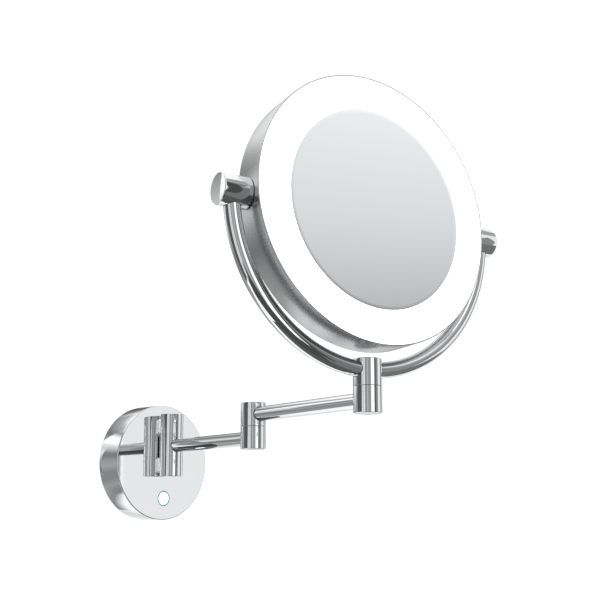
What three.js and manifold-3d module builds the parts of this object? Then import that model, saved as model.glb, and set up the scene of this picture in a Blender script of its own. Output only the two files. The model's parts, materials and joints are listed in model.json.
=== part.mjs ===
// Extendable illuminated shaving mirror for a bathroom wall.
//
// A chromed rosette on the wall holds a standing hinge. Two tube arms, an elbow hinge and a head
// hinge carry a half-round tube yoke, and a lit round mirror tilts between the yoke's two knobs.
//
// Units are millimetres and +Z is up. The wall is the plane y = 0, the mirror stands out along -Y,
// and the origin is the centre of the wall plate's back face.

import * as THREE from "three";
import { mergeVertices } from "three/addons/utils/BufferGeometryUtils.js";
import Module from "manifold-3d";

// ---------------------------------------------------------------- driving dimensions

const GAP = 0.3; // assembly or running gap between two touching pieces
const SEAM = 0.4; // seam between two hinge barrels

const rosette = { radius: 56.5, depth: 28.5, skin: 1.2, face: 1.6, edge: 0.8, wallGap: 0.5 };
const plate = { thick: 2.5, rim: 54.2, rimWall: 2.4, rimHeight: 9 };
const bracket = { sheet: 2, web: 2.5, half: 15, flange: 25.5, bottom: -16, top: 42 };

const barrelRadius = 11;
const wallHinge = { side: -1.5, out: 42.2, middle: 16.4, height: 61, knuckle: 22 };
const elbow = { bottom: 6.1, seam: 25.8, top: 46.6 };
const headJoint = { bottom: 26.1, seam: 46.4, top: 67.2 };
const pin = { radius: 3.5, bore: 1.6, head: 5.9, headHeight: 2.2, topWall: 4 };
const cap = { radius: 6.2, thick: 1.6 };
const spring = { outer: 5.9, inner: 3.8, thick: 0.6, rise: 0.4 };
const washer = { outer: 8.8, inner: 3.9, thick: 1.1 };
const foot = { radius: 8, spread: 19.3, boltHead: 4.4, boltShank: 2.4, boltHeadHeight: 3 };

const tube = { radius: 6.25, wall: 1.3, seat: 7 }; // seat: where its end stands from the hinge axis
const lead = { radius: 1.3, stop: 4.5 };
const arm1 = { length: 137.6, heading: -99.8, height: 15.7 };
const arm2 = { length: 146.7, heading: -99.8, height: 36.2 };

const yoke = { heading: -15.3, pivotHeight: 176.5, bend: 117.6, endBelowPivot: 6 };
const knob = { radius: 11.5, inner: 106.3, outer: 128.6 };
const pivotBolt = { shank: 3, head: 5.2, headHeight: 3, headInner: 95.2, tip: 121.5 };
const pivotBlock = { thick: 5, wide: 20, high: 12.8 };

const head = { tilt: 3.4, rise: 2.8, radius: 105.9, skin: 1, front: 16.7, back: -13.5 };
const drumBack = { fillet: 3.5, dome: 3 };
const glass = { radius: 78.6, thick: 3.2, hollow: 3, setback: 0.2 };
const diffuser = { inner: 78.9, outer: 104.6, thick: 2.8, setback: 0.1 };
const tray = { floor: 7.2, thick: 1.3, rimWall: 1.6, standInner: 72.8, standOuter: 76, standTop: 11.3 };
const ledBoard = { inner: 79, outer: 100, thick: 1.2, leds: 24, size: 2.8, high: 0.8 };
const backScrew = { count: 3, orbit: 52, shank: 1.4, head: 3.2, headHeight: 1.6, depth: 11 };

const LARGE = 40; // segments round the rosette and the head
const ROUND = 20; // segments round hinge-sized pieces
const SMALL = 12; // segments round pins, bolts and bores
const FINE_WIRE = 6; // segments round a lead

// ---------------------------------------------------------------- materials

const finish = (color, roughness, metalness) =>
  new THREE.MeshStandardMaterial({ color, roughness, metalness });

const polishedChrome = finish(0xd6d8da, 0.06, 1);
const satinAluminium = finish(0xa9abad, 0.38, 1);
const zincSteel = finish(0x9c9ea0, 0.42, 1);
const springSteel = finish(0x84878b, 0.3, 1);
const silveredGlass = finish(0xe6e8ea, 0.02, 1);
const opalAcrylic = finish(0xffffff, 0.35, 0);
const whitePolymer = finish(0xe9e9e6, 0.5, 0);
const blackPolymer = finish(0x2b2c2e, 0.55, 0);
const greenLaminate = finish(0x1f5a3a, 0.5, 0.1);
const whiteLaminate = finish(0xf2f2ee, 0.45, 0.1);
const iceLens = finish(0xd8fbff, 0.25, 0);
const tealRing = finish(0x6f97a1, 0.35, 0.4);

// ---------------------------------------------------------------- solids

const wasm = await Module();
wasm.setup();

// A closed three.js geometry as a solid that can be cut and joined.
function solid(geometry) {
  const bare = geometry.index ? geometry.toNonIndexed() : geometry.clone();
  for (const name of Object.keys(bare.attributes)) {
    if (name !== "position") bare.deleteAttribute(name);
  }
  const merged = mergeVertices(bare, 1e-4);
  return new wasm.Manifold(
    new wasm.Mesh({
      numProp: 3,
      vertProperties: new Float32Array(merged.attributes.position.array),
      triVerts: new Uint32Array(merged.index.array),
    }),
  );
}

// A solid's surface as flat-shaded three.js geometry.
function surface(body) {
  const { vertProperties, triVerts, numProp } = body.getMesh();
  const points = new Float32Array(triVerts.length * 3);
  triVerts.forEach((vertex, i) => {
    points.set(vertProperties.subarray(vertex * numProp, vertex * numProp + 3), i * 3);
  });
  const geometry = new THREE.BufferGeometry();
  geometry.setAttribute("position", new THREE.BufferAttribute(points, 3));
  geometry.computeVertexNormals();
  return geometry;
}

const join = (first, ...others) =>
  others.reduce((body, other) => body.add(solid(other)), solid(first));

// Cuts geometries out of a geometry.
const cut = (first, ...tools) =>
  surface(tools.flat().reduce((body, tool) => body.subtract(solid(tool)), solid(first)));

// A piece turned about +Z. Its [radius, height] outline goes up the outside and down the inside.
function turned(outline, segments = ROUND) {
  const loop = [...outline, outline[0]].map(([r, z]) => new THREE.Vector2(r, z));
  return new THREE.LatheGeometry(loop, segments).rotateX(Math.PI / 2);
}

const rod = (radius, from, to, segments = SMALL) =>
  turned([[0, from], [radius, from], [radius, to], [0, to]], segments);

const ring = (outer, inner, from, to, segments = ROUND) =>
  turned([[inner, from], [outer, from], [outer, to], [inner, to]], segments);

// A turned piece with a shank and a wider head above it.
const headed = (shank, from, headRadius, seat, headHeight) =>
  turned(
    [
      [0, from],
      [shank, from],
      [shank, seat],
      [headRadius, seat],
      [headRadius, seat + headHeight],
      [0, seat + headHeight],
    ],
    SMALL,
  );

const alongX = (geometry) => geometry.rotateY(Math.PI / 2);
const alongY = (geometry) => geometry.rotateX(-Math.PI / 2);
const halfTurn = (geometry) => geometry.rotateZ(Math.PI);

// ---------------------------------------------------------------- scene graph helpers

function named(name, material, geometry) {
  const mesh = new THREE.Mesh(geometry, material);
  mesh.name = name;
  return mesh;
}

function group(...children) {
  const holder = new THREE.Group();
  holder.add(...children.flat());
  return holder;
}

const radians = THREE.MathUtils.degToRad;
const SIDES = [["left", -1], ["right", 1]];

// ---------------------------------------------------------------- hinge pieces
// Each stands on its hinge's axis, and its outline uses the heights above the rosette's centre.

const pinBore = pin.radius + GAP;
const counterbore = cap.thick + pin.headHeight + spring.thick + spring.rise + 3 * GAP;
const washerSeatDepth = washer.thick + 2 * GAP - SEAM;
const lowerTop = (hinge) => hinge.seam - SEAM / 2;
const upperBottom = (hinge) => hinge.seam + SEAM / 2;

// A lower barrel, with a counterbore from below for the pin's head, the disc spring and the cap.
const lowerBarrel = (bottom, top) =>
  turned([
    [cap.radius + GAP, bottom],
    [barrelRadius, bottom],
    [barrelRadius, top],
    [pinBore, top],
    [pinBore, bottom + counterbore],
    [cap.radius + GAP, bottom + counterbore],
  ]);

// An upper barrel, closed on top, with a blind bore for the pin's end.
const upperBarrel = (bottom, top, boreTop) =>
  turned([
    [pinBore, bottom],
    [barrelRadius, bottom],
    [barrelRadius, top],
    [0, top],
    [0, boreTop],
    [pinBore, boreTop],
  ]);

// The recess that hides a friction washer in the seam above a barrel.
const washerSeat = (top) => rod(washer.outer + GAP, top - washerSeatDepth, top + 1, ROUND);

const frictionWasher = (top) => {
  const bottom = top - washerSeatDepth + GAP;
  return ring(washer.outer, washer.inner, bottom, bottom + washer.thick);
};

// The socket for a tube that leaves a barrel along +X, and the small hole for the tube's lead.
const tubeSocket = (height) => [
  alongX(rod(tube.radius + GAP, tube.seat - GAP, barrelRadius + 1, ROUND)).translate(0, 0, height),
  alongX(rod(lead.radius + GAP, pin.radius, tube.seat, FINE_WIRE)).translate(0, 0, height),
];

// The hollow pin, the disc spring under its head and the cap over it.
function hingeHardware(prefix, bottom, pinTop) {
  const headBottom = bottom + cap.thick + GAP;
  const headTop = headBottom + pin.headHeight;
  const springBottom = headTop + GAP;
  const pinOutline = [
    [pin.bore, headBottom],
    [pin.head, headBottom],
    [pin.head, headTop],
    [pin.radius, headTop],
    [pin.radius, pinTop],
    [pin.bore, pinTop],
  ];
  const springOutline = [
    [spring.inner, springBottom + spring.rise],
    [spring.outer, springBottom],
    [spring.outer, springBottom + spring.thick],
    [spring.inner, springBottom + spring.rise + spring.thick],
  ];
  return {
    pin: named(`${prefix}_pin`, zincSteel, turned(pinOutline, SMALL)),
    spring: named(`${prefix}_disc_spring`, springSteel, turned(springOutline, SMALL)),
    cap: named(`${prefix}_cap`, polishedChrome, rod(cap.radius, bottom, bottom + cap.thick, ROUND)),
  };
}

// A straight tube between two hinges along +X, and the lead inside it.
function armTube(prefix, { length, height }) {
  const sleeve = ring(tube.radius, tube.radius - tube.wall, tube.seat, length - tube.seat);
  const wire = rod(lead.radius, lead.stop, length - lead.stop, FINE_WIRE);
  return [
    named(`${prefix}_tube`, polishedChrome, alongX(sleeve).translate(0, 0, height)),
    named(`${prefix}_lead`, blackPolymer, alongX(wire).translate(0, 0, height)),
  ];
}

// ---------------------------------------------------------------- rosette
// Its pieces have +Z out of the wall and +Y up, in a group that is turned to match the wall.

const faceBack = rosette.depth - rosette.face;
const cableEntry = { x: 33, y: 30, radius: 7 };
const wallScrewHole = { x: 37, y: -27, radius: 2.5 };
const bracketScrew = { x: 21, y: 2, shank: 1.9, head: 3.4, headHeight: 2.2 };
const grub = { radius: 1.9, height: 5, length: 5.4 };
const touch = { x: 1.2, y: -35.4, ring: 7.2, lens: 6.2, flange: 9, flangeThick: 1.6, proud: 0.2 };
const bracketFront = faceBack - GAP;
const bracketBack = plate.thick + GAP;
const footHeights = { upper: wallHinge.middle + foot.spread, lower: wallHinge.middle - foot.spread };

const grubHole = () =>
  alongY(rod(grub.radius + GAP, -rosette.radius - 1, -rosette.radius + 8)).translate(0, 0, grub.height);

function wallPlate() {
  const rimInner = plate.rim - plate.rimWall;
  const dish = turned(
    [
      [0, 0],
      [plate.rim, 0],
      [plate.rim, plate.rimHeight],
      [rimInner, plate.rimHeight],
      [rimInner, plate.thick],
      [0, plate.thick],
    ],
    LARGE,
  );
  const hole = (radius, x, y) => rod(radius, -1, plate.thick + 1).translate(x, y, 0);
  const pairs = [-1, 1].flatMap((side) => [
    hole(wallScrewHole.radius, side * wallScrewHole.x, wallScrewHole.y),
    hole(bracketScrew.shank + GAP, side * bracketScrew.x, bracketScrew.y),
  ]);
  const entry = hole(cableEntry.radius, cableEntry.x, cableEntry.y);
  return named("wall_plate", zincSteel, cut(dish, entry, pairs, grubHole()));
}

function rosetteShell() {
  const { radius, depth, skin, edge, wallGap } = rosette;
  const cup = turned(
    [
      [radius - skin, wallGap],
      [radius, wallGap],
      [radius, depth - edge],
      [radius - edge * 0.3, depth - edge * 0.3],
      [radius - edge, depth],
      [0, depth],
      [0, faceBack],
      [radius - skin, faceBack],
    ],
    LARGE,
  );
  const through = (hole, x, y) => rod(hole, faceBack - 1, depth + 1, ROUND).translate(x, y, 0);
  const boltHoles = Object.values(footHeights).map((y) =>
    through(foot.boltShank + GAP, wallHinge.side, y),
  );
  return named(
    "rosette_shell",
    polishedChrome,
    cut(cup, through(touch.ring + GAP, touch.x, touch.y), boltHoles, grubHole()),
  );
}

function grubScrew() {
  const screw = rod(grub.radius, -rosette.radius, -rosette.radius + grub.length);
  return named("grub_screw", zincSteel, alongY(screw).translate(0, 0, grub.height));
}

// The folded steel bracket that carries the hinge's load back to the wall plate: a front web
// behind the rosette's face, two side walls and two flanges on the plate.
function armBracket() {
  const { sheet, web, half, flange, bottom, top } = bracket;
  const rightHalf = [
    [half, bracketFront - web],
    [half, bracketBack],
    [flange, bracketBack],
    [flange, bracketBack + sheet],
    [half + sheet, bracketBack + sheet],
    [half + sheet, bracketFront],
  ];
  const leftHalf = rightHalf.map(([x, z]) => [-x, z]).reverse();
  const outline = [...rightHalf, ...leftHalf].map(([x, z]) => new THREE.Vector2(x, -z));
  const folded = new THREE.ExtrudeGeometry(new THREE.Shape(outline), {
    depth: top - bottom,
    bevelEnabled: false,
  });
  const boltHoles = Object.values(footHeights).map((y) =>
    rod(foot.boltShank + GAP, bracketFront - web - 1, bracketFront + 1).translate(wallHinge.side, y, 0),
  );
  const screwHoles = [-1, 1].map((side) =>
    rod(bracketScrew.shank + GAP, 0, bracketBack + sheet + 1).translate(
      side * bracketScrew.x,
      bracketScrew.y,
      0,
    ),
  );
  const upright = alongY(folded).translate(0, bottom, 0);
  return named("arm_bracket", zincSteel, cut(upright, boltHoles, screwHoles));
}

function bracketScrewOn([name, side]) {
  const seat = bracketBack + bracket.sheet + GAP;
  const screw = headed(bracketScrew.shank, GAP, bracketScrew.head, seat, bracketScrew.headHeight);
  return named(
    `bracket_screw_${name}`,
    zincSteel,
    screw.translate(side * bracketScrew.x, bracketScrew.y, 0),
  );
}

// A round moulded foot that spaces a hinge barrel off the face, saddled to the barrel, and its bolt.
const tipWall = 1.5; // what is left of the barrel between the bolt's tip and the pin's bore
const boltTip = wallHinge.out - pin.radius - tipWall;
function hingeFoot([name, y]) {
  const stub = rod(foot.radius, rosette.depth + GAP, wallHinge.out, ROUND);
  const saddle = alongY(rod(barrelRadius + GAP, -10, 10, ROUND)).translate(0, 0, wallHinge.out);
  const bore = rod(foot.boltShank + GAP, rosette.depth, wallHinge.out);
  const seat = bracketFront - bracket.web - GAP;
  const bolt = headed(foot.boltShank, -boltTip, foot.boltHead, -seat, foot.boltHeadHeight);
  return [
    named(`foot_${name}`, whitePolymer, cut(stub, saddle, bore).translate(wallHinge.side, y, 0)),
    named(`foot_bolt_${name}`, zincSteel, bolt.rotateX(Math.PI).translate(wallHinge.side, y, 0)),
  ];
}

function ledDriver() {
  const [width, height, depth, corner] = [16, 40, 18, 2.5];
  const [x, y] = [width / 2 - corner, height / 2 - corner];
  const outline = new THREE.Shape();
  outline.absarc(x, -y, corner, -Math.PI / 2, 0);
  outline.absarc(x, y, corner, 0, Math.PI / 2);
  outline.absarc(-x, y, corner, Math.PI / 2, Math.PI);
  outline.absarc(-x, -y, corner, Math.PI, 1.5 * Math.PI);
  const body = new THREE.ExtrudeGeometry(outline, { depth, bevelEnabled: false, curveSegments: 2 });
  return named("led_driver", blackPolymer, body.translate(-37, 2, plate.thick + 1));
}

// A three-way terminal block with a wire mouth and a clamp screw well for each way.
function terminalBlock() {
  const [width, height, depth] = [14, 24, 13];
  const centre = [37, -5, plate.thick + 1 + depth / 2];
  const ways = [-8, 0, 8].flatMap((offset) => [
    alongX(rod(1.8, -width, 0, FINE_WIRE)).translate(0, offset, -2),
    rod(1.6, 1, depth, FINE_WIRE).translate(2, offset, 0),
  ]);
  const body = new THREE.BoxGeometry(width, height, depth);
  return named("terminal_block", whitePolymer, cut(body, ways).translate(...centre));
}

// The touch switch: a teal ring and an ice-white lens in the face, and the board behind them.
function touchSwitch() {
  const front = rosette.depth + touch.proud;
  const flangeFront = faceBack - GAP;
  const flangeBack = flangeFront - touch.flangeThick;
  const bezel = turned([
    [touch.lens + GAP, flangeBack],
    [touch.flange, flangeBack],
    [touch.flange, flangeFront],
    [touch.ring, flangeFront],
    [touch.ring, front],
    [touch.lens + GAP, front],
  ]);
  const lens = rod(touch.lens, flangeBack, front, ROUND);
  const laminate = new THREE.BoxGeometry(26, 17, 1.6).translate(0, 0, flangeBack - 2.3);
  const sensor = rod(4.5, flangeBack - 2, flangeBack - GAP);
  return [
    named("touch_ring", tealRing, bezel),
    named("touch_lens", iceLens, lens),
    named("touch_board", greenLaminate, surface(join(laminate, sensor))),
  ].map((mesh) => {
    mesh.position.set(touch.x, touch.y, 0);
    return mesh;
  });
}

// ---------------------------------------------------------------- wall hinge

const hingeBottom = wallHinge.middle - wallHinge.height / 2;
const hingeTop = wallHinge.middle + wallHinge.height / 2;
const knuckleBottom = wallHinge.middle - wallHinge.knuckle / 2;
const knuckleTop = wallHinge.middle + wallHinge.knuckle / 2;

function wallHingePieces() {
  const boreTop = hingeTop - pin.topWall;
  const boltHole = (y) =>
    alongY(rod(foot.boltShank + GAP, pin.radius + tipWall - GAP, barrelRadius + 1)).translate(0, 0, y);
  const upper = cut(upperBarrel(knuckleTop + SEAM, hingeTop, boreTop), boltHole(footHeights.upper));
  const lower = cut(lowerBarrel(hingeBottom, knuckleBottom - SEAM), boltHole(footHeights.lower));
  const hardware = hingeHardware("wall_hinge", hingeBottom, boreTop - GAP);
  return [
    named("wall_barrel_upper", polishedChrome, upper),
    named("wall_barrel_lower", polishedChrome, lower),
    ...Object.values(hardware),
  ];
}

// ---------------------------------------------------------------- arms

const elbowHardware = hingeHardware("elbow", elbow.bottom, elbow.top - pin.topWall - GAP);
const headPinWall = 1.2; // left above the head joint's pin, which runs on through the yoke tube
const headHardware = hingeHardware("head_joint", headJoint.bottom, headJoint.top - headPinWall - GAP);

function firstArm() {
  // The knuckle and its washers are the same upside down, so each is made on its own middle.
  const half = wallHinge.knuckle / 2;
  const seats = [washerSeat(half), washerSeat(half).rotateX(Math.PI)];
  const socket = tubeSocket(arm1.height - wallHinge.middle);
  const knuckle = cut(ring(barrelRadius, pinBore, -half, half), seats, socket);
  const middlePieces = group(
    named("arm1_knuckle", polishedChrome, knuckle),
    named("wall_washer_upper", whitePolymer, frictionWasher(half)),
    named("wall_washer_lower", whitePolymer, frictionWasher(half).rotateX(Math.PI)),
  );
  middlePieces.position.z = wallHinge.middle;

  const top = lowerTop(elbow);
  const barrel = cut(
    lowerBarrel(elbow.bottom, top),
    washerSeat(top),
    tubeSocket(arm1.height).map(halfTurn),
  );
  const elbowPieces = group(
    named("elbow_lower_barrel", polishedChrome, barrel),
    named("elbow_washer", whitePolymer, frictionWasher(top)),
    elbowHardware.spring,
    elbowHardware.cap,
  );
  elbowPieces.position.x = arm1.length;
  return group(middlePieces, armTube("arm1", arm1), elbowPieces);
}

function secondArm() {
  const upper = upperBarrel(upperBottom(elbow), elbow.top, elbow.top - pin.topWall);
  const top = lowerTop(headJoint);
  const barrel = cut(
    lowerBarrel(headJoint.bottom, top),
    washerSeat(top),
    tubeSocket(arm2.height).map(halfTurn),
  );
  const headPieces = group(
    named("head_joint_lower_barrel", polishedChrome, barrel),
    named("head_joint_washer", whitePolymer, frictionWasher(top)),
    headHardware.spring,
    headHardware.cap,
  );
  headPieces.position.x = arm2.length;
  return group(
    named("elbow_upper_barrel", polishedChrome, cut(upper, tubeSocket(arm2.height))),
    elbowHardware.pin,
    armTube("arm2", arm2),
    headPieces,
  );
}

// ---------------------------------------------------------------- yoke and knobs

// The yoke's centre line: an arc about the tilt axis, by angle from its lowest point.
class YokeArc extends THREE.Curve {
  constructor(from, to) {
    super();
    this.from = from;
    this.to = to;
  }
  getPoint(t) {
    const angle = this.from + (this.to - this.from) * t;
    const height = yoke.pivotHeight - yoke.bend * Math.cos(angle);
    return new THREE.Vector3(yoke.bend * Math.sin(angle), 0, height);
  }
}

const yokeEnd = Math.acos(yoke.endBelowPivot / yoke.bend); // where the tube stops inside a knob
const yokeAngle = (distance) => distance / yoke.bend;
const YOKE_STEPS = 28;
const YOKE_SIDES = 16;

function bentTube(outer, inner, from, to, steps, sides) {
  const section = new THREE.Shape().absarc(0, 0, outer, 0, 2 * Math.PI);
  if (inner) section.holes.push(new THREE.Path().absarc(0, 0, inner, 0, 2 * Math.PI));
  return new THREE.ExtrudeGeometry(section, {
    steps,
    curveSegments: sides / 2,
    extrudePath: new YokeArc(from, to),
  });
}

function yokeTube() {
  const inner = tube.radius - tube.wall;
  const sleeve = bentTube(tube.radius, inner, -yokeEnd, yokeEnd, YOKE_STEPS, YOKE_SIDES);
  const pinHole = rod(pinBore, upperBottom(headJoint), headJoint.top);
  const wire = bentTube(lead.radius, 0, yokeAngle(lead.stop), yokeEnd, YOKE_STEPS / 2, FINE_WIRE);
  return [
    named("yoke_tube", polishedChrome, cut(sleeve, pinHole)),
    named("yoke_lead", blackPolymer, surface(solid(wire))),
  ];
}

function headJointBarrel() {
  const boreTop = headJoint.top - headPinWall;
  const body = upperBarrel(upperBottom(headJoint), headJoint.top, boreTop);
  const reach = yokeAngle(2 * barrelRadius);
  const tunnel = bentTube(tube.radius + GAP, 0, -reach, reach, 6, YOKE_SIDES);
  return named("head_joint_upper_barrel", polishedChrome, cut(body, tunnel));
}

// One side's knob, the friction washer in its inner end and the pivot bolt through the head's wall,
// all made for the +X side.
function knobPieces([name, side]) {
  const body = rod(knob.radius, knob.inner, knob.outer, ROUND);
  const bore = rod(pivotBolt.shank + GAP, knob.inner - 1, pivotBolt.tip + GAP);
  const seat = rod(washer.outer + GAP, knob.inner - 1, knob.inner + washerSeatDepth, ROUND);
  const socketEnd = Math.acos((yoke.endBelowPivot - GAP) / yoke.bend);
  const socketStart = socketEnd - yokeAngle(2 * knob.radius);
  const socket = bentTube(tube.radius + GAP, 0, socketStart, socketEnd, 3, YOKE_SIDES);
  socket.translate(0, 0, -yoke.pivotHeight);
  const knobBody = cut(alongX(body), alongX(bore), alongX(seat), socket);
  const washerInner = knob.inner - GAP / 3;
  const washerRing = ring(washer.outer, washer.inner, washerInner, washerInner + washer.thick);
  const boltSeat = pivotBolt.headInner + pivotBolt.headHeight;
  const bolt = headed(pivotBolt.shank, -pivotBolt.tip, pivotBolt.head, -boltSeat, pivotBolt.headHeight);
  const pieces = group(
    named(`${name}_knob`, polishedChrome, knobBody),
    named(`${name}_knob_washer`, whitePolymer, alongX(washerRing)),
    named(`${name}_pivot_bolt`, zincSteel, bolt.rotateY(-Math.PI / 2)),
  );
  pieces.position.z = yoke.pivotHeight;
  pieces.rotation.z = side > 0 ? 0 : Math.PI;
  return pieces;
}

// ---------------------------------------------------------------- lit head
// Its pieces have +Z out of the mirror, +X along the tilt axis and the drum's centre as origin.

const wallInner = head.radius - head.skin;

// The drum's section from the middle of its back to its front edge, a distance inside its skin.
function drumSection(inset) {
  const spread = head.radius - drumBack.fillet;
  const dome = [0, 0.35, 0.7].map((part) => [
    spread * part,
    head.back + inset - drumBack.dome * (1 - part * part),
  ]);
  const bend = [-90, -60, -30, 0].map((angle) => [
    spread + (drumBack.fillet - inset) * Math.cos(radians(angle)),
    head.back + drumBack.fillet + (drumBack.fillet - inset) * Math.sin(radians(angle)),
  ]);
  return [...dome, ...bend, [head.radius - inset, head.front]];
}

const screwSpots = Array.from({ length: backScrew.count }, (_, i) => {
  const angle = Math.PI / 2 + (2 * Math.PI * i) / backScrew.count;
  return [backScrew.orbit * Math.cos(angle), backScrew.orbit * Math.sin(angle)];
});

// The drum's back at a screw's distance from its centre.
const backAtScrew =
  head.back - drumBack.dome * (1 - (backScrew.orbit / (head.radius - drumBack.fillet)) ** 2);

function drumShell() {
  const pan = turned([...drumSection(0), ...drumSection(head.skin).reverse()], LARGE);
  const pivotHoles = rod(pivotBolt.shank + GAP, -head.radius - 1, head.radius + 1);
  const screwHoles = screwSpots.map(([x, y]) =>
    rod(backScrew.shank + GAP, backAtScrew - 2, backAtScrew + 4, FINE_WIRE).translate(x, y, 0),
  );
  return named(
    "drum_shell",
    satinAluminium,
    cut(pan, alongX(pivotHoles).translate(0, -head.rise, 0), screwHoles),
  );
}

// A steel block behind the drum's wall that the pivot bolt runs in.
function pivotBlockOn([name, side]) {
  const { thick, wide, high } = pivotBlock;
  const outerFace = Math.sqrt(wallInner ** 2 - (wide / 2 + head.rise) ** 2) - 2 * GAP;
  const x = outerFace - thick / 2;
  const body = new THREE.BoxGeometry(thick, wide, high).translate(x, 0, 0);
  const bore = alongX(rod(pivotBolt.shank + GAP, x - thick, x + thick));
  const turn = side > 0 ? 0 : Math.PI;
  return named(
    `${name}_pivot_block`,
    zincSteel,
    cut(body, bore).rotateZ(turn).translate(0, -head.rise, 0),
  );
}

// The tray that holds the lights and the glass, with a boss for each back screw.
function ledTray() {
  const { floor, thick, rimWall, standInner, standOuter, standTop } = tray;
  const rim = wallInner - 0.4;
  const rimTop = head.front - diffuser.setback - diffuser.thick - GAP;
  const top = floor + thick;
  const pan = turned(
    [
      [0, floor],
      [rim, floor],
      [rim, rimTop],
      [rim - rimWall, rimTop],
      [rim - rimWall, top],
      [standOuter, top],
      [standOuter, standTop],
      [standInner, standTop],
      [standInner, top],
      [0, top],
    ],
    LARGE,
  );
  const bossEnd = backAtScrew + head.skin + 2 * GAP;
  const bosses = screwSpots.map(([x, y]) => rod(4, bossEnd, floor + 0.5, SMALL).translate(x, y, 0));
  const holes = screwSpots.map(([x, y]) =>
    rod(backScrew.shank + GAP, bossEnd - 1, bossEnd + backScrew.depth, FINE_WIRE).translate(x, y, 0),
  );
  return named("led_tray", whitePolymer, cut(surface(join(pan, ...bosses)), holes));
}

function ledRing() {
  const bottom = tray.floor + tray.thick + GAP;
  const top = bottom + ledBoard.thick;
  const laminate = ring(ledBoard.outer, ledBoard.inner, bottom, top, LARGE);
  const middle = (ledBoard.outer + ledBoard.inner) / 2;
  const leds = Array.from({ length: ledBoard.leds }, (_, i) =>
    new THREE.BoxGeometry(ledBoard.size, ledBoard.size, ledBoard.high + 0.2)
      .translate(middle, 0, top + (ledBoard.high - 0.2) / 2)
      .rotateZ((2 * Math.PI * (i + 0.5)) / ledBoard.leds),
  );
  return named("led_board", whiteLaminate, surface(join(laminate, ...leds)));
}

// The hollow front of the magnifying glass, by radius.
const glassFront = (r) =>
  head.front - glass.setback - glass.hollow * (1 - (r / glass.radius) ** 2);

function mirrorGlass() {
  const radii = [0, 0.25, 0.5, 0.75, 1].map((part) => part * glass.radius);
  const back = radii.map((r) => [r, glassFront(r) - glass.thick]);
  const front = radii.map((r) => [r, glassFront(r)]).reverse();
  return named("mirror_glass", silveredGlass, turned([...back, ...front], LARGE));
}

function glassAdhesive() {
  const bottom = tray.standTop + GAP;
  const top = glassFront(tray.standInner) - glass.thick - GAP;
  return named(
    "glass_adhesive",
    blackPolymer,
    ring(tray.standOuter, tray.standInner, bottom, top, LARGE),
  );
}

function diffuserRing() {
  const front = head.front - diffuser.setback;
  return named(
    "diffuser_ring",
    opalAcrylic,
    ring(diffuser.outer, diffuser.inner, front - diffuser.thick, front, LARGE),
  );
}

function backScrewAt([x, y], index) {
  const seat = -(backAtScrew - GAP);
  const tip = -(backAtScrew + head.skin + backScrew.depth - 1);
  const screw = headed(backScrew.shank, tip, backScrew.head, seat, backScrew.headHeight);
  return named(`back_screw_${index + 1}`, zincSteel, screw.rotateX(Math.PI).translate(x, y, 0));
}

// ---------------------------------------------------------------- assembly

const rosettePieces = group(
  wallPlate(),
  rosetteShell(),
  grubScrew(),
  armBracket(),
  SIDES.map(bracketScrewOn),
  Object.entries(footHeights).flatMap(hingeFoot),
  ledDriver(),
  terminalBlock(),
  touchSwitch(),
);
rosettePieces.rotation.x = Math.PI / 2;

const drum = group(
  drumShell(),
  SIDES.map(pivotBlockOn),
  ledTray(),
  ledRing(),
  glassAdhesive(),
  mirrorGlass(),
  diffuserRing(),
  screwSpots.map(backScrewAt),
);
drum.position.y = head.rise;

const tiltingHead = group(drum);
tiltingHead.position.z = yoke.pivotHeight;
tiltingHead.rotation.x = Math.PI / 2 - radians(head.tilt);

const swivellingYoke = group(
  headJointBarrel(),
  headHardware.pin,
  yokeTube(),
  SIDES.map(knobPieces),
  tiltingHead,
);
swivellingYoke.position.x = arm2.length;
swivellingYoke.rotation.z = radians(yoke.heading - arm2.heading);

const outerArm = group(secondArm(), swivellingYoke);
outerArm.position.x = arm1.length;
outerArm.rotation.z = radians(arm2.heading - arm1.heading);

const innerArm = group(firstArm(), outerArm);
innerArm.rotation.z = radians(arm1.heading);

const hinge = group(wallHingePieces(), innerArm);
hinge.position.set(wallHinge.side, -wallHinge.out, 0);

export default group(rosettePieces, hinge);
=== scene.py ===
"""Extendable illuminated shaving mirror for a bathroom wall, dressed for the studio.

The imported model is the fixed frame. Every chromed piece that shows is turned or bent again as a
fine mesh on that frame, the hidden pieces keep their solids and get their real finishes, and a
white studio with bright and dark cards gives the chrome something to reflect.
"""

from __future__ import annotations

import json
import logging
import math
from dataclasses import dataclass, field
from enum import Enum
from typing import Any, Callable, Iterable, Mapping, Sequence

import bmesh
import bpy
from mathutils import Matrix, Vector

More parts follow.
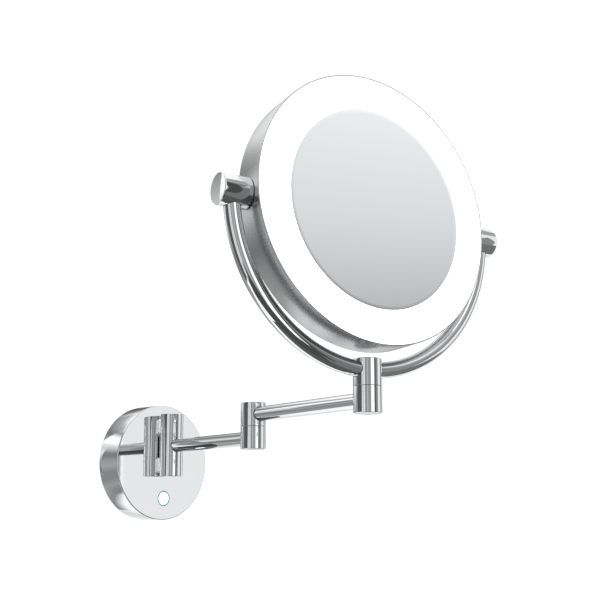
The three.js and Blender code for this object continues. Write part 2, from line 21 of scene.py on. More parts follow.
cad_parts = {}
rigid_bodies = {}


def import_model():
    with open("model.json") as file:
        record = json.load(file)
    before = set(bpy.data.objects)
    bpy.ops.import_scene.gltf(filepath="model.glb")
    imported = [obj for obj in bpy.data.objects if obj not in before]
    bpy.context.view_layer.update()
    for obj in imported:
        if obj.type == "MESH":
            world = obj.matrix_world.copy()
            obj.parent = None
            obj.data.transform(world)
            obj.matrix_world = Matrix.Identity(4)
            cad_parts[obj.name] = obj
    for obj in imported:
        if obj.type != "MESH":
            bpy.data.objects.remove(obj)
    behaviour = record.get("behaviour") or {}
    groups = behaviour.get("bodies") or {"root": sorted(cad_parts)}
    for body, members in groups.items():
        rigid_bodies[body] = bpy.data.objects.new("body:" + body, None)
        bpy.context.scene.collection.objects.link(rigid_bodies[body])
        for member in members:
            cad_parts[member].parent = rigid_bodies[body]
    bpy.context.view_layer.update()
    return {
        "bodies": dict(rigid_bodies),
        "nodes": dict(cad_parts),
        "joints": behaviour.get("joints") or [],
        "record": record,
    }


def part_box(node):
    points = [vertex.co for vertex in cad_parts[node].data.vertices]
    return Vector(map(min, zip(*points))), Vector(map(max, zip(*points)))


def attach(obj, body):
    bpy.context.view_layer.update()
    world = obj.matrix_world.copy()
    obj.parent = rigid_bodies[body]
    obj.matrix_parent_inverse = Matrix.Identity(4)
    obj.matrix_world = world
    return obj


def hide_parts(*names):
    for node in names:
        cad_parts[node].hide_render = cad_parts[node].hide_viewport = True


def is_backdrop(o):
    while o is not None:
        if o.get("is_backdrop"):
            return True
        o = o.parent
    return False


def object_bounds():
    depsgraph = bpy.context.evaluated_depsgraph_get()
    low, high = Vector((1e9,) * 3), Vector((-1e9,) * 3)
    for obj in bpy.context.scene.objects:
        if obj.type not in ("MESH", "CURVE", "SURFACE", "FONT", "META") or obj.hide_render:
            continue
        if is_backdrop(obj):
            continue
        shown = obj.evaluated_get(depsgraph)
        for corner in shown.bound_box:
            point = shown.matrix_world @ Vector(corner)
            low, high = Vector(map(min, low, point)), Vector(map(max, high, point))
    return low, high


LOG = logging.getLogger("shaving_mirror")
MM = 0.001
CREASE = 35.0  # degrees between faces, from which an edge stays sharp

Outline = list[tuple[float, float]]


class Body(str, Enum):
    """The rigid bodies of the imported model."""

    WALL = "wall"
    INNER_ARM = "inner_arm"
    OUTER_ARM = "outer_arm"
    YOKE = "yoke"
    HEAD = "head"


# ------------------------------------------------------------------------------ frame readings


def joint_point(frame: Mapping[str, Any], name: str) -> Vector:
    """Find a joint's point in the row frame.

    Args:
        frame: The loaded frame.
        name: The joint's name.

    Returns:
        The joint's point, in metres.
    """
    joint = next(j for j in frame["joints"] if j["name"] == name)
    return Vector(joint["pos_m"])


def heights(node: str) -> tuple[float, float]:
    """Give a node's lowest and highest height, in metres."""
    low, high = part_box(node)
    return low.z, high.z


def heading(start: Vector, end: Vector) -> float:
    """Give the compass angle from one point to another, about +Z from +X, in radians."""
    return math.atan2(end.y - start.y, end.x - start.x)


def standing(point: Vector, turn: float = 0.0) -> Matrix:
    """Place a piece on a standing axis through a point, at height zero.

    Args:
        point: A point on the axis, in metres.
        turn: How far the piece is turned about the axis, in radians.

    Returns:
        The placing matrix.
    """
    return Matrix.Translation((point.x, point.y, 0)) @ Matrix.Rotation(turn, 4, "Z")


# ------------------------------------------------------------------------------ mesh building


@dataclass(frozen=True)
class Corner:
    """A corner of a turned outline.

    Attributes:
        radius: Its distance from the turning axis, in metres.
        height: Its place along the axis, in metres.
        ease: The radius that breaks the corner, or 0 where it stays sharp.
    """

    radius: float
    height: float
    ease: float = 0.0


def eased(corners: Sequence[Corner], steps: int = 5) -> Outline:
    """Round each corner of a closed outline by its own ease.

    Args:
        corners: The outline's corners in order.
        steps: Points along each rounded corner.

    Returns:
        The outline's points as (radius, height).
    """
    points: Outline = []
    for index, corner in enumerate(corners):
        here = Vector((corner.radius, corner.height))
        before, after = corners[index - 1], corners[(index + 1) % len(corners)]
        back = Vector((before.radius, before.height)) - here
        ahead = Vector((after.radius, after.height)) - here
        if corner.ease <= 0 or back.length < 1e-9 or ahead.length < 1e-9:
            points.append(tuple(here))
            continue
        half = back.angle(ahead) / 2
        reach = min(corner.ease / math.tan(half), 0.49 * back.length, 0.49 * ahead.length)
        first = here + back.normalized() * reach
        last = here + ahead.normalized() * reach
        for step in range(steps + 1):
            part = step / steps
            inner = first.lerp(here, part)
            points.append(tuple(inner.lerp(here.lerp(last, part), part)))
    return points


def new_piece(name: str, mesh: bpy.types.Mesh, place: Matrix | None = None) -> bpy.types.Object:
    """Put a mesh into the scene as a piece.

    Args:
        name: The piece's name.
        mesh: Its mesh.
        place: Where it goes in the row frame.

    Returns:
        The new object.
    """
    piece = bpy.data.objects.new(name, mesh)
    bpy.context.scene.collection.objects.link(piece)
    piece.matrix_world = place or Matrix.Identity(4)
    return piece


def finish_mesh(name: str, form: bmesh.types.BMesh, crease: float = CREASE) -> bpy.types.Mesh:
    """Turn a bmesh into a mesh that is smooth except at its creases.

    Args:
        name: The mesh's name.
        form: The bmesh, which is freed.
        crease: The angle between faces above which an edge stays sharp, in degrees.

    Returns:
        The finished mesh.
    """
    bmesh.ops.remove_doubles(form, verts=form.verts, dist=1e-7)
    bmesh.ops.recalc_face_normals(form, faces=form.faces)
    mesh = bpy.data.meshes.new(name)
    form.to_mesh(mesh)
    form.free()
    mesh.polygons.foreach_set("use_smooth", [True] * len(mesh.polygons))
    mesh.set_sharp_from_angle(angle=math.radians(crease))
    return mesh


def grid_faces(form: bmesh.types.BMesh, rows: Sequence[Sequence[bmesh.types.BMVert]]) -> None:
    """Skin rows of points that close on themselves both ways.

    Args:
        form: The bmesh that holds the points.
        rows: Rings of points, each with as many as the next.
    """
    for row, following in zip(rows, list(rows[1:]) + [rows[0]]):
        for k in range(len(row)):
            n = (k + 1) % len(row)
            corners = list(dict.fromkeys([row[k], row[n], following[n], following[k]]))
            if len(corners) > 2:
                form.faces.new(corners)


def turned(
    name: str,
    corners: Sequence[Corner],
    place: Matrix,
    segments: int = 128,
) -> bpy.types.Object:
    """Turn a closed outline about its local +Z, as on a lathe.

    Args:
        name: The piece's name.
        corners: The outline's corners, up the outside and down the inside.
        place: Where the turned piece goes in the row frame.
        segments: How many facets run round it.

    Returns:
        The turned piece.
    """
    form = bmesh.new()
    outline = eased(corners)
    rows = []
    for index in range(segments):
        angle = 2 * math.pi * index / segments
        cos, sin = math.cos(angle), math.sin(angle)
        rows.append([form.verts.new((r * cos, r * sin, z)) for r, z in outline])
    for row, following in zip(rows, rows[1:] + rows[:1]):
        for k in range(len(outline)):
            n = (k + 1) % len(outline)
            on_axis = [outline[k][0] < 1e-9, outline[n][0] < 1e-9]
            if all(on_axis):
                continue
            corners_here = [row[k], row[n], following[n], following[k]]
            if on_axis[0]:
                corners_here = [row[k], row[n], following[n]]
            if on_axis[1]:
                corners_here = [row[k], row[n], following[k]]
            form.faces.new(corners_here)
    return new_piece(name, finish_mesh(name, form), place)


@dataclass(frozen=True)
class Arc:
    """A bent tube's centre line: an arc in the local XZ plane about the origin.

    Attributes:
        bend: The arc's radius, in metres.
        tube: The tube's outer radius, in metres.
    """

    bend: float
    tube: float

    def point(self, angle: float, around: float, radius: float) -> Vector:
        """Find a point on the tube.

        Args:
            angle: The angle along the arc from its lowest point, in radians.
            around: The angle round the tube, from the side away from the centre.
            radius: The distance from the centre line, in metres.

        Returns:
            The point in the arc's own frame.
        """
        reach = self.bend + radius * math.cos(around)
        return Vector(
            (reach * math.sin(angle), radius * math.sin(around), -reach * math.cos(angle))
        )


def bent_tube(name: str, arc: Arc, wall: float, end: float, place: Matrix) -> bpy.types.Object:
    """Bend a hollow tube along an arc.

    Args:
        name: The piece's name.
        arc: The tube's centre line and size.
        wall: The thickness of its wall, in metres.
        end: The angle at which it stops on each side, in radians.
        place: Where it goes in the row frame.

    Returns:
        The bent tube.
    """
    form = bmesh.new()
    steps, sides = 220, 56
    rows = []
    for radius, direction in ((arc.tube, 1), (arc.tube - wall, -1)):
        for step in range(steps + 1):
            angle = direction * end * (2 * step / steps - 1)
            turns = [2 * math.pi * k / sides for k in range(sides)]
            rows.append([form.verts.new(arc.point(angle, t, radius)) for t in turns])
    grid_faces(form, rows)
    return new_piece(name, finish_mesh(name, form), place)


def shade_bead(name: str, loop: Iterable[Vector], width: float, place: Matrix) -> bpy.types.Object:
    """Lay a fine bead along a closed loop, where one tube enters another, to carry the seam's
    painted shade.

    Args:
        name: The piece's name.
        loop: The loop's points.
        width: The bead's width, in metres.
        place: Where it goes in the row frame.

    Returns:
        The bead as a mesh.
    """
    points = list(loop)
    curve = bpy.data.curves.new(name, "CURVE")
    curve.dimensions = "3D"
    curve.bevel_depth = width / 2
    curve.bevel_resolution = 2
    spline = curve.splines.new("POLY")
    spline.points.add(len(points) - 1)
    for target, point in zip(spline.points, points):
        target.co = (*point, 1)
    spline.use_cyclic_u = True
    holder = bpy.data.objects.new(name + "_path", curve)
    mesh = bpy.data.meshes.new_from_object(holder)
    bpy.data.objects.remove(holder)
    mesh.name = name
    mesh.polygons.foreach_set("use_smooth", [True] * len(mesh.polygons))
    return new_piece(name, mesh, place)


def plug(radius: float, low: float, high: float) -> list[Corner]:
    """Outline a plain round plug between two heights."""
    return [Corner(0, low), Corner(radius, low), Corner(radius, high), Corner(0, high)]


def around(steps: int = 72) -> list[float]:
    """Give evenly spaced angles once round a circle, in radians."""
    return [2 * math.pi * k / steps for k in range(steps)]


def carve(piece: bpy.types.Object, cutters: Sequence[bpy.types.Object]) -> None:
    """Cut pieces out of a piece, and remove the cutters.

    Args:
        piece: The piece that is cut.
        cutters: Closed meshes that are taken away from it.
    """
    for cutter in cutters:
        tool = piece.modifiers.new("cut", "BOOLEAN")
        tool.operation = "DIFFERENCE"
        tool.solver = "EXACT"
        tool.object = cutter
    bpy.context.view_layer.update()
    graph = bpy.context.evaluated_depsgraph_get()
    mesh = bpy.data.meshes.new_from_object(piece.evaluated_get(graph))
    piece.modifiers.clear()
    piece.data = mesh
    mesh.name = piece.name
    mesh.set_sharp_from_angle(angle=math.radians(CREASE))
    for cutter in cutters:
        bpy.data.objects.remove(cutter)


def prism(name: str, outline: Outline, low: float, high: float) -> bpy.types.Object:
    """Raise a flat outline along local +Z.

    Args:
        name: The piece's name.
        outline: The outline's points as (x, y), counterclockwise.
        low: The height of its bottom, in metres.
        high: The height of its top, in metres.

    Returns:
        The prism, at the origin.
    """
    form = bmesh.new()
    bottom = [form.verts.new((x, y, low)) for x, y in outline]
    top = [form.verts.new((x, y, high)) for x, y in outline]
    form.faces.new(bottom[::-1])
    form.faces.new(top)
    for k in range(len(outline)):
        n = (k + 1) % len(outline)
        form.faces.new((bottom[k], bottom[n], top[n], top[k]))
    return new_piece(name, finish_mesh(name, form))


# ------------------------------------------------------------------------------ finishes


def linear(colour: str) -> tuple[float, float, float, float]:
    """Turn an sRGB hex colour into linear light.

    Args:
        colour: The colour as "#rrggbb".

    Returns:
        Linear red, green, blue and full alpha.
    """
    shares = [int(colour[i : i + 2], 16) / 255 for i in (1, 3, 5)]
    light = [s / 12.92 if s <= 0.04045 else ((s + 0.055) / 1.055) ** 2.4 for s in shares]
    return light[0], light[1], light[2], 1.0


def per_metre(size_mm: float) -> float:
    """Give the noise scale whose features are about this many millimetres across."""
    return 1000.0 / size_mm


def add_node(
    tree: bpy.types.NodeTree,
    kind: str,
    settings: Mapping[str | int, Any] | None = None,
    links: Mapping[str | int, bpy.types.NodeSocket] | None = None,
) -> bpy.types.Node:
    """Add a node with its settings and its links.

    Args:
        tree: The node tree.
        kind: The node's type name.
        settings: Values by input name or number, or by the node's own property.
        links: Output sockets of other nodes by the input they feed.

    Returns:
        The new node.
    """
    node = tree.nodes.new(kind)
    for key, value in (settings or {}).items():
        if isinstance(key, int) or key in node.inputs:
            node.inputs[key].default_value = value
        else:
            setattr(node, key, value)
    for key, socket in (links or {}).items():
        tree.links.new(socket, node.inputs[key])
    return node


@dataclass(frozen=True)
class Finish:
    """A plain finish that the named finishes build on.

    Attributes:
        name: What the finish is called.
        slot: The record's material slot that it belongs to.
        colour: Its colour as sRGB hex.
        metallic: 1 for a metal and 0 for anything else.
        roughness: The middle of its roughness.
        spread: How far the roughness strays to each side of that.
        patch_mm: The size of the patches over which it strays.
        relief_mm: The depth of its surface relief.
        grain_mm: The size of its relief.
        shade: How much darker its patches get, as a share.
    """

    name: str
    slot: str
    colour: str
    metallic: float = 0.0
    roughness: float = 0.5
    spread: float = 0.04
    patch_mm: float = 8.0
    relief_mm: float = 0.01
    grain_mm: float = 1.0
    shade: float = 0.06

    def pattern(self, tree: bpy.types.NodeTree) -> bpy.types.NodeSocket:
        """Give the coordinates that the relief follows.

        Args:
            tree: The material's node tree.

        Returns:
            A vector socket in metres.
        """
        return add_node(tree, "ShaderNodeTexCoord").outputs["Object"]

    def extra(self, tree: bpy.types.NodeTree, shader: bpy.types.Node) -> None:
        """Add what only this finish has.

        Args:
            tree: The material's node tree.
            shader: Its surface shader.
        """

    def build(self) -> bpy.types.Material:
        """Make the material.

        Returns:
            A new material with its nodes.
        """
        material = bpy.data.materials.new(self.name)
        material.use_nodes = True
        tree = material.node_tree
        tree.nodes.clear()
        where = add_node(tree, "ShaderNodeTexCoord").outputs["Object"]
        patches = add_node(
            tree,
            "ShaderNodeTexNoise",
            {"Scale": per_metre(self.patch_mm), "Detail": 4.0, "Roughness": 0.55},
            {"Vector": where},
        )
        gloss = add_node(
            tree,
            "ShaderNodeMapRange",
            {
                "From Min": 0.3,
                "From Max": 0.7,
                "To Min": max(0.0, self.roughness - self.spread),
                "To Max": self.roughness + self.spread,
            },
            {"Value": patches.outputs["Fac"]},
        )
        red, green, blue, _ = linear(self.colour)
        darker = (red * (1 - self.shade), green * (1 - self.shade), blue * (1 - self.shade), 1.0)
        tint = add_node(
            tree,
            "ShaderNodeMix",
            {"data_type": "RGBA", 6: darker, 7: (red, green, blue, 1.0)},
            {0: patches.outputs["Fac"]},
        )
        grain = add_node(
            tree,
            "ShaderNodeTexNoise",
            {"Scale": per_metre(self.grain_mm), "Detail": 2.0},
            {"Vector": self.pattern(tree)},
        )
        relief = add_node(
            tree,
            "ShaderNodeBump",
            {"Strength": 1.0, "Distance": self.relief_mm * MM},
            {"Height": grain.outputs["Fac"]},
        )
        shader = add_node(
            tree,
            "ShaderNodeBsdfPrincipled",
            {"Metallic": self.metallic},
            {
                "Base Color": tint.outputs[2],
                "Roughness": gloss.outputs["Result"],
                "Normal": relief.outputs["Normal"],
            },
        )
        self.extra(tree, shader)
        add_node(tree, "ShaderNodeOutputMaterial", {}, {"Surface": shader.outputs["BSDF"]})
        return material


@dataclass(frozen=True)
class ChromePlate(Finish):
    """Bright nickel-chrome plate on buffed brass: near-mirror gloss, cool and a little hazy.

    The buffing leaves soft patches of haze some millimetres wide, which soften the edges of
    what it reflects without breaking them.
    """

    name: str = "bright_chrome_plate"
    slot: str = "polished_chrome"
    colour: str = "#eef0f1"
    metallic: float = 1.0
    roughness: float = 0.045
    spread: float = 0.012
    patch_mm: float = 7.0
    relief_mm: float = 0.0006
    grain_mm: float = 2.5
    shade: float = 0.02


@dataclass(frozen=True)
class SpunAluminium(Finish):
    """Satin aluminium spun on a lathe: soft broad highlights under fine rings.

    The real rings are about 0.1 mm apart. They are drawn 0.7 mm apart, as coarse as they need
    to be to show, and they run round the drum's own axis, its local +Z.
    """

    name: str = "spun_satin_aluminium"
    slot: str = "satin_aluminium"
    colour: str = "#d2d3d4"
    metallic: float = 1.0
    roughness: float = 0.27
    spread: float = 0.035
    patch_mm: float = 14.0
    relief_mm: float = 0.006
    grain_mm: float = 0.7
    shade: float = 0.05

    def pattern(self, tree: bpy.types.NodeTree) -> bpy.types.NodeSocket:
        """Give coordinates that change across the rings and hardly along them."""
        where = add_node(tree, "ShaderNodeTexCoord").outputs["Object"]
        axes = add_node(tree, "ShaderNodeSeparateXYZ", {}, {"Vector": where}).outputs
        flat = add_node(tree, "ShaderNodeCombineXYZ", {}, {"X": axes["X"], "Y": axes["Y"]})
        reach = add_node(
            tree, "ShaderNodeVectorMath", {"operation": "LENGTH"}, {0: flat.outputs[0]}
        )
        angle = add_node(
            tree, "ShaderNodeMath", {"operation": "ARCTAN2"}, {0: axes["Y"], 1: axes["X"]}
        )
        drift = add_node(
            tree, "ShaderNodeMath", {"operation": "MULTIPLY", 1: 0.002}, {0: angle.outputs[0]}
        )
        return add_node(
            tree,
            "ShaderNodeCombineXYZ",
            {},
            {"X": reach.outputs["Value"], "Y": drift.outputs[0], "Z": axes["Z"]},
        ).outputs[0]


@dataclass(frozen=True)
class ZincPlate(Finish):
    """Zinc-plated pressed steel: dull, with the blotchy bloom of a barrel-plated part."""

    name: str = "zinc_plated_steel"
    slot: str = "zinc_steel"
    colour: str = "#b4b8ba"
    metallic: float = 1.0
    roughness: float = 0.42
    spread: float = 0.1
    patch_mm: float = 4.0
    relief_mm: float = 0.02
    grain_mm: float = 0.8
    shade: float = 0.22


@dataclass(frozen=True)
class SpringSteel(Finish):
    """Phosphated spring steel: dark grey and faintly oily, with a fine crystal grain."""

    name: str = "phosphated_spring_steel"
    slot: str = "spring_steel"
    colour: str = "#6f7276"
    metallic: float = 1.0
    roughness: float = 0.36
    spread: float = 0.06
    patch_mm: float = 2.0
    relief_mm: float = 0.008
    grain_mm: float = 0.4
    shade: float = 0.25


@dataclass(frozen=True)
class SilveredGlass(Finish):
    """Back-silvered float glass, slumped to a shallow hollow: a clean, sharp mirror.

    Only a breath of haze from wiping is left on it, in patches a few centimetres wide.
    """

    name: str = "silvered_glass"
    slot: str = "silvered_glass"
    colour: str = "#f1f3f4"
    metallic: float = 1.0
    roughness: float = 0.012
    spread: float = 0.008
    patch_mm: float = 30.0
    relief_mm: float = 0.0
    grain_mm: float = 20.0
    shade: float = 0.01


@dataclass(frozen=True)
class LitFinish(Finish):
    """A finish that is lit from behind.

    Attributes:
        glow: The light's colour as sRGB hex.
        strength: How bright the light is.
    """

    glow: str = "#ffffff"
    strength: float = 1.0

    def extra(self, tree: bpy.types.NodeTree, shader: bpy.types.Node) -> None:
        """Light the surface from behind."""
        shader.inputs["Emission Color"].default_value = linear(self.glow)
        shader.inputs["Emission Strength"].default_value = self.strength


@dataclass(frozen=True)
class OpalAcrylic(LitFinish):
    """Opal cast acrylic over a ring of white lights: an even, cool white glow with a soft gloss."""

    name: str = "lit_opal_acrylic"
    slot: str = "opal_acrylic"
    colour: str = "#fbfdff"
    roughness: float = 0.32
    spread: float = 0.05
    patch_mm: float = 12.0
    relief_mm: float = 0.01
    grain_mm: float = 1.5
    shade: float = 0.02
    strength: float = 1.15


@dataclass(frozen=True)
class IceLens(LitFinish):
    """Moulded polycarbonate lens over a cool white light: icy white, a touch bluish."""

    name: str = "lit_ice_lens"
    slot: str = "ice_lens"
    colour: str = "#e8fdff"
    roughness: float = 0.25
    spread: float = 0.04
    patch_mm: float = 3.0
    relief_mm: float = 0.005
    grain_mm: float = 0.6
    shade: float = 0.03
    glow: str = "#d9fbff"
    strength: float = 1.0


@dataclass(frozen=True)
class MouldedPolymer(Finish):
    """Injection-moulded ABS or acetal with a fine spark-eroded texture."""

    roughness: float = 0.5
    spread: float = 0.07
    patch_mm: float = 5.0
    relief_mm: float = 0.03
    grain_mm: float = 0.5
    shade: float = 0.08


@dataclass(frozen=True)
class SolderMask(Finish):
    """Glass-fibre laminate under lacquer: a faint weave shows through its gloss."""

    roughness: float = 0.35
    spread: float = 0.08
    patch_mm: float = 1.2
    relief_mm: float = 0.02
    grain_mm: float = 0.7
    shade: float = 0.16


class Finishes:
    """The object's materials, each built once and given to every piece that has it."""

    def __init__(self) -> None:
        """Build every material."""
        plans = [
            ChromePlate(),
            SpunAluminium(),
            ZincPlate(),
            SpringSteel(),
            SilveredGlass(),
            OpalAcrylic(),
            IceLens(),
            MouldedPolymer("white_moulded_polymer", "white_polymer", "#f8f8f6"),
            MouldedPolymer("black_moulded_polymer", "black_polymer", "#26272a"),
            # The touch switch's ring is moulded ABS in a greyed teal under clear lacquer.
            MouldedPolymer(
                "teal_lacquered_ring", "teal_ring", "#6d97a3", roughness=0.3, grain_mm=0.3
            ),
            SolderMask("green_laminate", "green_laminate", "#1f5a3a"),
            SolderMask("white_laminate", "white_laminate", "#f2f2ee"),
        ]
        self.by_slot = {plan.slot: plan.build() for plan in plans}
        # Painted shade: a dark finish for the beads where two chromed pieces meet, standing in for
        # the contact shadow in the fine seam there.
        joint = Finish("painted_seam_shade", "polished_chrome", "#2c2d2f", 0.6, 0.5, grain_mm=0.5)
        self.seam_shade = joint.build()

    def dress(self, piece: bpy.types.Object, material: bpy.types.Material, slot: str) -> None:
        """Give a piece one material.

        Args:
            piece: The piece.
            material: Its material.
            slot: Not used.
        """
        piece.data.materials.clear()
        piece.data.materials.append(material)

    def dress_nodes(self, frame: Mapping[str, Any]) -> int:
        """Give every carried-over solid the finish that its record slot names.

        Args:
            frame: The loaded frame.

        Returns:
            How many solids were dressed.
        """
        slots = {s["node"]: s["material_slot"] for s in frame["record"]["subparts"]}
        for name, node in frame["nodes"].items():
            material = self.by_slot[slots[name]]
            if not node.material_slots:
                node.data.materials.append(material)
            for held in node.material_slots:
                held.material = material
        return len(slots)


@dataclass
class SubAssembly:
    """What every sub-assembly shares.

    Attributes:
        frame: The loaded frame.
        finishes: The object's materials.
    """

    frame: Mapping[str, Any]
    finishes: Finishes

    def fit(
        self,
        piece: bpy.types.Object,
        body: Body,
        slot: str = "polished_chrome",
        replaces: Sequence[str] = (),
    ) -> bpy.types.Object:
        """Dress a piece, set it on its body and hide the solids that it replaces.

        Args:
            piece: The piece.
            body: The body that it rides on.
            slot: The record's slot for its finish.
            replaces: The solids that it replaces.

        Returns:
            The same piece.
        """
        self.finishes.dress(piece, self.finishes.by_slot[slot], slot)
        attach(piece, body.value)
        if replaces:
            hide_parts(*replaces)
        LOG.info("piece %s on %s", piece.name, body.value)
        return piece

    def line(self, name: str, loop: Iterable[Vector], place: Matrix, body: Body) -> None:
        """Lay the dark line of painted shade where a tube enters a barrel or a knob.

        Args:
            name: The line's name.
            loop: Its points in the local frame.
            place: Where it goes in the row frame.
            body: The body that it rides on.
        """
        bead = shade_bead(name, loop, 0.45 * MM, place)
        # The bead's dark finish is painted shade along the seam.
        self.finishes.dress(bead, self.finishes.seam_shade, "polished_chrome")
        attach(bead, body.value)


# ------------------------------------------------------------------------------ hinge barrels


@dataclass
class BarrelSizes:
    """Sizes that every standing hinge shares, in metres.

    Attributes:
        radius: The barrels' outer radius.
        bore: The running bore for the pin.
        cap_seat: The radius of the recess for the cap below.
        counterbore: How deep that recess goes.
        washer_seat: The radius of the friction washer's recess.
        washer_depth: How deep that recess goes.
        ease: The radius that breaks the end edges.
        seam_ease: The finer radius at a seam between two barrels.
        lap: How much nearer a lower barrel comes to the one above than its solid does.
        cap_bevel: The radius that breaks the cap's lower edge.
    """

    radius: float = 11.0 * MM
    bore: float = 3.8 * MM
    cap_seat: float = 6.5 * MM
    counterbore: float = 5.7 * MM
    washer_seat: float = 9.1 * MM
    washer_depth: float = 1.3 * MM
    ease: float = 0.6 * MM
    seam_ease: float = 0.12 * MM
    lap: float = 0.1 * MM
    cap_bevel: float = 0.3 * MM

    def lower(self, bottom: float, top: float) -> list[Corner]:
        """Outline a lower barrel, open below for the pin's head and above for the washer."""
        deep = bottom + self.counterbore
        seat = top - self.washer_depth
        return [
            Corner(self.cap_seat, bottom, self.seam_ease),
            Corner(self.radius, bottom, self.ease),
            Corner(self.radius, top, self.seam_ease),
            Corner(self.washer_seat, top),
            Corner(self.washer_seat, seat),
            Corner(self.bore, seat),
            Corner(self.bore, deep),
            Corner(self.cap_seat, deep),
        ]

    def upper(self, bottom: float, top: float, roof: float) -> list[Corner]:
        """Outline an upper barrel, closed on top over a blind bore."""
        return [
            Corner(self.bore, bottom),
            Corner(self.radius, bottom, self.seam_ease),
            Corner(self.radius, top, self.ease),
            Corner(0, top),
            Corner(0, top - roof),
            Corner(self.bore, top - roof),
        ]

    def entry(self, tube: float, height: float) -> list[Vector]:
        """Trace where a tube along local +X enters the barrel.

        Args:
            tube: The tube's radius.
            height: The height of the tube's axis.

        Returns:
            The loop's points.
        """
        return [
            Vector(
                (
                    math.sqrt(self.radius**2 - (tube * math.sin(t)) ** 2),
                    tube * math.sin(t),
                    height + tube * math.cos(t),
                )
            )
            for t in around()
        ]

    def cap(self, bottom: float, thick: float, radius: float) -> list[Corner]:
        """Outline the cap that closes a barrel from below, with a bevelled edge."""
        return [
            Corner(0, bottom),
            Corner(radius, bottom, self.cap_bevel),
            Corner(radius, bottom + thick),
            Corner(0, bottom + thick),
        ]


# ------------------------------------------------------------------------------ rosette


